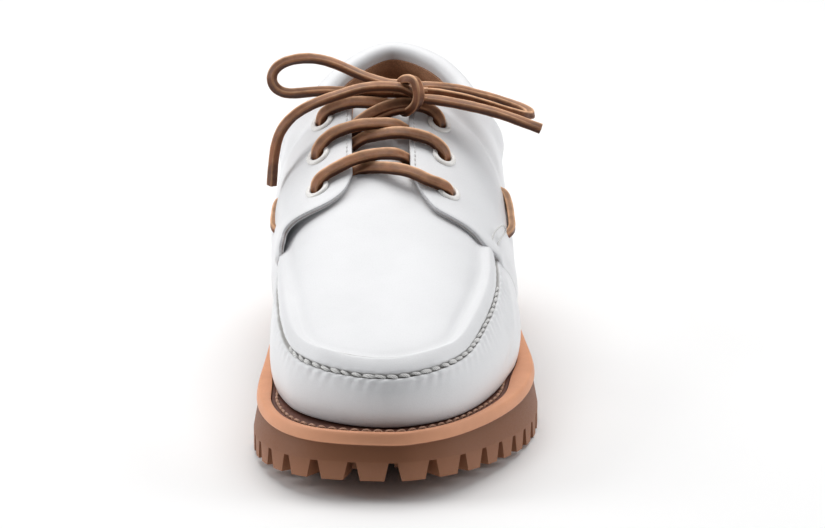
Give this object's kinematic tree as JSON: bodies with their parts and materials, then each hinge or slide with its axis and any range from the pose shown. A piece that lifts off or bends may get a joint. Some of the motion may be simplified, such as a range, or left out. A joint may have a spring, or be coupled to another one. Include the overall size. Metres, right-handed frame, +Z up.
{
  "type": "low lace-up moccasin-toe shoe",
  "caption": "Low white leather lace shoe with a raised moccasin toe seam, eyestay flaps, a bowed leather lace and a thick lugged rubber sole.",
  "frame": {"origin": "on the floor under the middle of the sole's length and width", "axes": "+Y from toe to heel, +X to the outer (lateral) side of this left shoe, +Z up"},
  "size_m": [0.1201, 0.302, 0.131],
  "materials": {
    "upper_leather": "smooth white leather, low sheen",
    "outsole_rubber": "matt tan rubber, smooth band and lugs",
    "midsole_board": "dark brown stitched board",
    "sock_leather": "brown lining leather",
    "eyelet_enamel": "white enamel",
    "lace_leather": "waxed brown rawhide lace with a square cut"
  },
  "bodies": {
    "root": {"outsole": "outsole_rubber", "midsole": "midsole_board", "insole": "sock_leather", "upper": "upper_leather", "tongue": "upper_leather", "eyelet_medial_1": "eyelet_enamel", "eyelet_medial_2": "eyelet_enamel", "eyelet_medial_3": "eyelet_enamel", "eyelet_lateral_1": "eyelet_enamel", "eyelet_lateral_2": "eyelet_enamel", "eyelet_lateral_3": "eyelet_enamel", "lace_crossing_1": "lace_leather", "lace_crossing_2": "lace_leather", "lace_crossing_3": "lace_leather", "side_lace_lateral": "lace_leather", "side_lace_medial": "lace_leather", "bow_knot": "lace_leather", "bow_loop_left": "lace_leather", "bow_loop_right": "lace_leather", "lace_end_left": "lace_leather", "lace_end_right": "lace_leather"}
  },
  "joints": []
}
